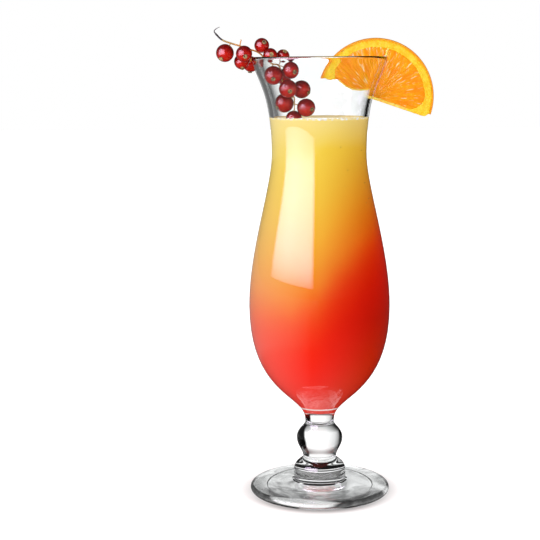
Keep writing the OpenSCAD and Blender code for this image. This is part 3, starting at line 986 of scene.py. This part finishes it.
bpy.ops.mesh.primitive_uv_sphere_add(segments=40, ring_count=24, radius=1)
unit_berry = bpy.context.object
poles = sorted(unit_berry.data.vertices, key=lambda v: v.co.z)
low_pole, high_pole = poles[0].index, poles[-1].index
push_pole(unit_berry, high_pole, depth=-0.07, reach=0.45)
push_pole(unit_berry, low_pole, depth=0.05, reach=0.4)
bpy.ops.object.shade_smooth()
unit_berry.data.materials.append(berry_material())
flower_ways = [(Vector((0, -flower_turn, 0)) - way).normalized() for way in stalk_ways]
turn_dice = random.Random(3)
for i, (middle, r, way) in enumerate(zip(berry_middles, berry_radii, flower_ways)):
    berry = copy_to(unit_berry, f"currant_{i + 1:02d}", middle, way, r)
    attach(berry, "currant_sprig")
    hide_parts(f"berry_{i + 1:02d}")
bpy.data.objects.remove(unit_berry)

# The dried flowers
# Each currant keeps the dry brown cup of its flower, five papery points around a dark mouth. Its
# colour is mottled, from near black to golden.
flower_r = 1.18
flower_l = 1.4
flower_foot_r = 0.5
flower_wall = 0.22
flower_depth = 0.75
flower_notch = 0.45
# Where it sits, as a share of the berry's radius
FLOWER_SEAT = 0.93
FLOWER_COLOURS = ((0.42, (0.03, 0.02, 0.01, 1)), (0.62, (0.5, 0.33, 0.1, 1)))

bpy.ops.mesh.primitive_cone_add(vertices=10, radius1=flower_foot_r, radius2=flower_r,
                                depth=flower_l, location=(0, 0, flower_l / 2))
unit_flower = bpy.context.object
bpy.ops.object.transform_apply()
for face in unit_flower.data.polygons:
    face.select = face.normal.z > 0.9
bpy.ops.object.mode_set(mode="EDIT")
bpy.ops.mesh.select_mode(type="FACE")
bpy.ops.mesh.inset(thickness=flower_wall)
bpy.ops.transform.translate(value=(0, 0, -flower_depth))
bpy.ops.object.mode_set(mode="OBJECT")
top = [v for v in unit_flower.data.vertices if v.co.z > flower_l - 0.05]
for i, vertex in enumerate(sorted(top, key=lambda v: math.atan2(v.co.y, v.co.x))):
    if (i // 2) % 2:
        vertex.co.z -= flower_notch
flowers = [copy_to(unit_flower, "flower", middle + FLOWER_SEAT * r * way, way, 1)
           for middle, r, way in zip(berry_middles, berry_radii, flower_ways)]
bpy.data.objects.remove(unit_flower)
dried = join(flowers, "dried_flowers")
bpy.ops.object.shade_smooth_by_angle(angle=math.radians(35))
dried.data.materials.append(mottled_material("dried_flower", {"Roughness": 0.7}, FLOWER_COLOURS,
                                             scale=1500, detail=3, strength=0.6, depth=0.0002))
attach(dried, "currant_sprig")
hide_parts("berry_calyxes")

# The studio
# A white table in a white room, lit by a softbox close on the left and a weak fill on the right.
# Black flags beyond the picture's edges, a dark ceiling and a painted dark ring on the table round
# the foot give clear glass its dark edges.
LENS, SENSOR = 88.75, 36
CAMERA_PLACE = (0, -0.6924, 0.226)
CAMERA_YAW, CAMERA_PITCH, CAMERA_ROLL = 2.146, 8.76, -0.42
ROOM_LIGHT = 0.52
KEY_LIGHT, KEY_FROM = 1.5, (-0.62, -0.7, 0.42)
FILL_LIGHT, FILL_FROM = 0.3, (0.85, -0.5, 0.2)
LAMP_WIDTH = 45
THROUGH_LEVEL = 1.2
GLOSS_LEVEL = 1.5
# A ray has turned back inside solid glass, has passed the bowl's two walls, or is a glint on the
# fruit, once it has met more surfaces than these
TURNED_AFTER, WALLS_AFTER, GLINT_AFTER = 2, 3, 4
# How bright the room looks through glass, by the angle from straight behind it, positive to the
# right: straight through solid glass, after a reflection inside it, and through the bowl's wall
SOLID_FLAGS = ((-180, 1), (-152, 1), (-144, 0.06), (-102, 0.1), (-98, 0), (-52, 0), (-46, 0.25),
               (-30, 0.7), (-10, 1), (25, 1), (29, 0), (98, 0), (102, 0.06), (144, 0.06), (152, 1),
               (180, 1))
INNER_FLAGS = ((-180, 0.06), (-102, 0.1), (-98, 0), (-52, 0), (-46, 0.25), (-30, 0.7), (-10, 1),
               (25, 1), (29, 0), (98, 0), (102, 0.06), (180, 0.06))
WALL_FLAGS = ((-180, 1), (-74, 1), (-66, 0.12), (-30, 0.12), (-20, 0.07), (-13, 0.14), (-6, 1),
              (5, 1), (20, 0.75), (23, 0), (62, 0), (72, 1), (180, 1))
# How bright it looks in reflections, by the same angle
GLOSS_FLAGS = ((-180, 0.05), (-150, 0.07), (-120, 0.12), (-95, 0.16), (-80, 0.12), (-46, 0.06),
               (-20, 0.05), (0, 0.03), (92, 0.015), (133, 0.03), (163, 0.06), (180, 0.08))
# The ceiling, by the upward part of a ray
CEILING = (0.18, 0.4, 1, 0.1)
# The table's paper, its glow to the camera, the light it throws back, and its look in reflections
TABLE_SIZE = 8
TABLE_WHITE, TABLE_WHITE_SHADED, TABLE_WHITE_GLOSS = 0.85, 0.5, 0.02
TABLE_GLOW, TABLE_GLOW_SHADED = 0.7, 0.45
TABLE_BOUNCE = 0.45
TABLE_GLOSS_AWAY = (0.15, 0.2, 0, 1)
TABLE_GLOSS = (-0.2, 0.02, 0.24, 0.015)
# How far from the axis it has its full glow and white again, in radii of the foot. Nearer, less
# glow and white paint a shadow round the foot.
FULL_GLOW_AT, FULL_WHITE_AT = 1.2, 1.6
# The contact shade in front of the foot: its width, its fade towards the back, its brightness
CONTACT_WIDTH, CONTACT_FADE, CONTACT_DARK = 0.0045, (-0.034, -0.012, 1, 0), 0.12
# Painted light and shade on the table, seen through the foot: brighter to the back, patchy, with a
# dark rim in front
FOOT_LIGHT, FOOT_CONTRAST = (-0.034, 0.024, 0.16, 1.2), (0.36, 0.64, 0.5, 1.5)
FOOT_RIM, FOOT_RIM_FADE, FOOT_RIM_DARK = (0.028, 0.0325, 0, 1), (0.004, 0.018, 0.8, 0), 0.03
# A painted bright crescent under the front of the foot's rim
CRESCENT_TO, CRESCENT = (-0.25, -0.97, 0), (0.0265, 0.0285, 0, 0.95)
# A painted bright streak of the light that the stem throws on the table, under the foot's right
# side
STREAK_ACROSS, STREAK_AT, STREAK_SIDE = (0.725, 0.69, 0), 0.0198, (0.0015, 0.005, 1, 0)
STREAK_START = (0.008, 0.017, 0, 1)
# Where that view ends, and a ring of painted shade on the table round the foot
FOOT_END = (0.036, 0.04)
PAINTED_RING_START, PAINTED_RING = (0.039, 0.04), (0.048, 0.068, 0.03, 1)
# The table beyond this distance is seen past the bowl's thin wall
WALL_BEYOND = 0.8
# The softbox: its strength, its cloth's colour, its size, its place, and its light across and up
SOFTBOX_LIGHT, SOFTBOX_COLOUR, SOFTBOX_SIZE = 14.5, (0.88, 0.72, 0.95, 1), (0.48, 0.43, 1)
SOFTBOX_TURN, SOFTBOX_AWAY, SOFTBOX_Z = math.radians(228), 0.3, 0.347
SOFTBOX_ACROSS = ((0, 0.1), (0.1, 0.7), (0.4, 1), (0.9, 0.85), (1, 0.3))
SOFTBOX_UP = ((0, 0.3), (0.06, 0.65), (0.14, 0.9), (0.3, 1), (0.75, 1), (0.98, 0))
WHITE, BLACK = (1, 1, 1, 1), (0, 0, 0, 1)


def blend_values(tree, share, low, high):
    """A value between two others."""
    return add_node(tree, "Mix", {0: share, 2: low, 3: high}, data_type="FLOAT")


def by_ray(tree, base, glossy, through, seen):
    """A value for each kind of ray: diffuse, glossy, through glass, and seen straight."""
    value = blend_values(tree, ray(tree, "Is Glossy Ray"), base, glossy)
    value = blend_values(tree, ray(tree, "Is Transmission Ray"), value, through)
    return blend_values(tree, ray(tree, "Is Camera Ray"), value, seen)


def shaded(tree, source, stops):
    """A brightness for each place along a value."""
    return ramped(tree, source, [(place, (v, v, v, 1)) for place, v in stops])


def by_angle(tree, way, flags, level):
    """A brightness by the angle from straight behind the glass."""
    share = mapped(tree, calc(tree, "ARCTAN2", way[0], way[1]), -math.pi, math.pi)
    return times(tree, shaded(tree, share, [((a + 180) / 360, v) for a, v in flags]), level)


def deeper_than(tree, bounces, kind="Ray Depth"):
    """One for a ray that has met more surfaces than this, and nought for the others."""
    return calc(tree, "GREATER_THAN", ray(tree, kind), bounces + 0.5)


def through_glass(tree, way, in_wall):
    """How bright the room looks through solid glass, and through the bowl's two walls."""
    solid, inner, thin = (by_angle(tree, way, flags, THROUGH_LEVEL)
                          for flags in (SOLID_FLAGS, INNER_FLAGS, WALL_FLAGS))
    solid = blend_values(tree, deeper_than(tree, TURNED_AFTER), solid, inner)
    return blend_values(tree, in_wall, solid, thin)


def table_material():
    """White paper, with a painted shadow round the foot. Through glass it shows painted light under
    the foot, a painted dark ring round it, and the flags painted on it by angle.
    """
    material, tree, shader = new_material("white_table", {
        "Roughness": 0.9, "Specular IOR Level": 0, "Emission Color": WHITE})
    place = coords(tree)
    x, y, _ = axes(tree, place)
    distance = vector_calc(tree, "LENGTH", place)
    patches = noise(tree, place, scale=95, detail=4, roughness=0.6, distortion=1.2)
    light = times(tree, mapped(tree, y, *FOOT_LIGHT), mapped(tree, patches, *FOOT_CONTRAST))
    rim_share = times(tree, mapped(tree, distance, *FOOT_RIM), mapped(tree, y, *FOOT_RIM_FADE))
    light = blend_values(tree, rim_share, light, FOOT_RIM_DARK)
    forward = vector_calc(tree, "DOT_PRODUCT", place, CRESCENT_TO)
    light = blend_values(tree, mapped(tree, forward, *CRESCENT), light, THROUGH_LEVEL)
    across = vector_calc(tree, "DOT_PRODUCT", place, STREAK_ACROSS)
    aside = calc(tree, "ABSOLUTE", calc(tree, "SUBTRACT", across, STREAK_AT))
    streak = times(tree, mapped(tree, aside, *STREAK_SIDE), mapped(tree, x, *STREAK_START))
    light = blend_values(tree, streak, light, THROUGH_LEVEL)
    far_off = calc(tree, "GREATER_THAN", distance, WALL_BEYOND)
    far_wall = times(tree, far_off, deeper_than(tree, TURNED_AFTER))
    past_foot = mapped(tree, distance, *FOOT_END)
    through = blend_values(tree, past_foot, light, through_glass(tree, (x, y), far_wall))
    outside = mapped(tree, distance, *PAINTED_RING_START)
    ring_shade = blend_values(tree, outside, 1, mapped(tree, distance, *PAINTED_RING))
    through = times(tree, through, ring_shade)
    gloss_away = mapped(tree, distance, *TABLE_GLOSS_AWAY)
    gloss = blend_values(tree, gloss_away, 0, mapped(tree, x, *TABLE_GLOSS))
    rim = foot_r * MM
    glow = mapped(tree, distance, rim, FULL_GLOW_AT * rim, TABLE_GLOW_SHADED, TABLE_GLOW)
    close = mapped(tree, distance, rim, rim + CONTACT_WIDTH, 1, 0)
    contact = times(tree, close, mapped(tree, y, *CONTACT_FADE))
    glow = blend_values(tree, contact, glow, CONTACT_DARK)
    white = mapped(tree, distance, rim, FULL_WHITE_AT * rim, TABLE_WHITE_SHADED, TABLE_WHITE)
    feed(tree, shader, {"Emission Strength": by_ray(tree, TABLE_BOUNCE, gloss, through, glow),
                        "Base Color": by_ray(tree, TABLE_WHITE, TABLE_WHITE_GLOSS, 0, white)})
    return material


def softbox_material():
    """Lit cloth. Through glass it shows only as a glint on the fruit."""
    material, tree, shader = new_material("softbox", {
        "Base Color": BLACK, "Specular IOR Level": 0, "Emission Color": SOFTBOX_COLOUR})
    across, up, _ = axes(tree, coords(tree, "UV"))
    cloth = times(tree, shaded(tree, up, SOFTBOX_UP), shaded(tree, across, SOFTBOX_ACROSS))
    light = times(tree, cloth, SOFTBOX_LIGHT)
    in_glass = blend_values(tree, deeper_than(tree, GLINT_AFTER), 0, light)
    light = blend_values(tree, ray(tree, "Is Transmission Ray"), light, in_glass)
    feed(tree, shader, {"Emission Strength": light})
    return material


def aim(place, target):
    """The rotation that points a lamp or a card at a target."""
    return (Vector(target) - Vector(place)).to_track_quat("-Z", "Y").to_euler()


camera_turns = ((CAMERA_YAW, "Z"), (90 - CAMERA_PITCH, "X"), (CAMERA_ROLL, "Z"))
yaw, pitch, roll = (Matrix.Rotation(math.radians(turn), 3, axis) for turn, axis in camera_turns)
bpy.ops.object.camera_add(location=CAMERA_PLACE, rotation=(yaw @ pitch @ roll).to_euler())
camera = bpy.context.object
camera.data.lens = LENS
camera.data.sensor_width = SENSOR
camera.data.clip_start = 0.01
scene.camera = camera

bpy.ops.mesh.primitive_plane_add(size=TABLE_SIZE, location=(0, 0, 0))
floor = bpy.context.object
floor.name = "white_table"
floor.data.materials.append(table_material())

world = bpy.data.worlds.new("white_room")
world.use_nodes = True
scene.world = world
tree = world.node_tree
way = axes(tree, coords(tree, "Generated"))
gloss = by_angle(tree, way, GLOSS_FLAGS, GLOSS_LEVEL)
through = through_glass(tree, way, deeper_than(tree, WALLS_AFTER, "Transmission Depth"))
through = times(tree, through, mapped(tree, way[2], *CEILING))
feed(tree, tree.nodes["Background"], {
    "Color": WHITE, "Strength": by_ray(tree, ROOM_LIGHT, gloss, through, 1)})

for place, strength in ((KEY_FROM, KEY_LIGHT), (FILL_FROM, FILL_LIGHT)):
    bpy.ops.object.light_add(type="SUN", location=place, rotation=aim(place, (0, 0, 0)))
    lamp = bpy.context.object
    lamp.data.energy = strength
    lamp.data.angle = math.radians(LAMP_WIDTH)
    for kind in ("camera", "glossy", "transmission"):
        setattr(lamp, "visible_" + kind, False)

softbox_place = (SOFTBOX_AWAY * math.sin(SOFTBOX_TURN), SOFTBOX_AWAY * math.cos(SOFTBOX_TURN),
                 SOFTBOX_Z)
bpy.ops.mesh.primitive_plane_add(size=1, location=softbox_place,
                                 rotation=aim(softbox_place, (0, 0, SOFTBOX_Z)))
softbox = bpy.context.object
softbox.name = "softbox"
softbox.scale = SOFTBOX_SIZE
softbox.data.materials.append(softbox_material())
for kind in ("camera", "diffuse", "shadow"):
    setattr(softbox, "visible_" + kind, False)

scene.view_settings.view_transform = "Standard"
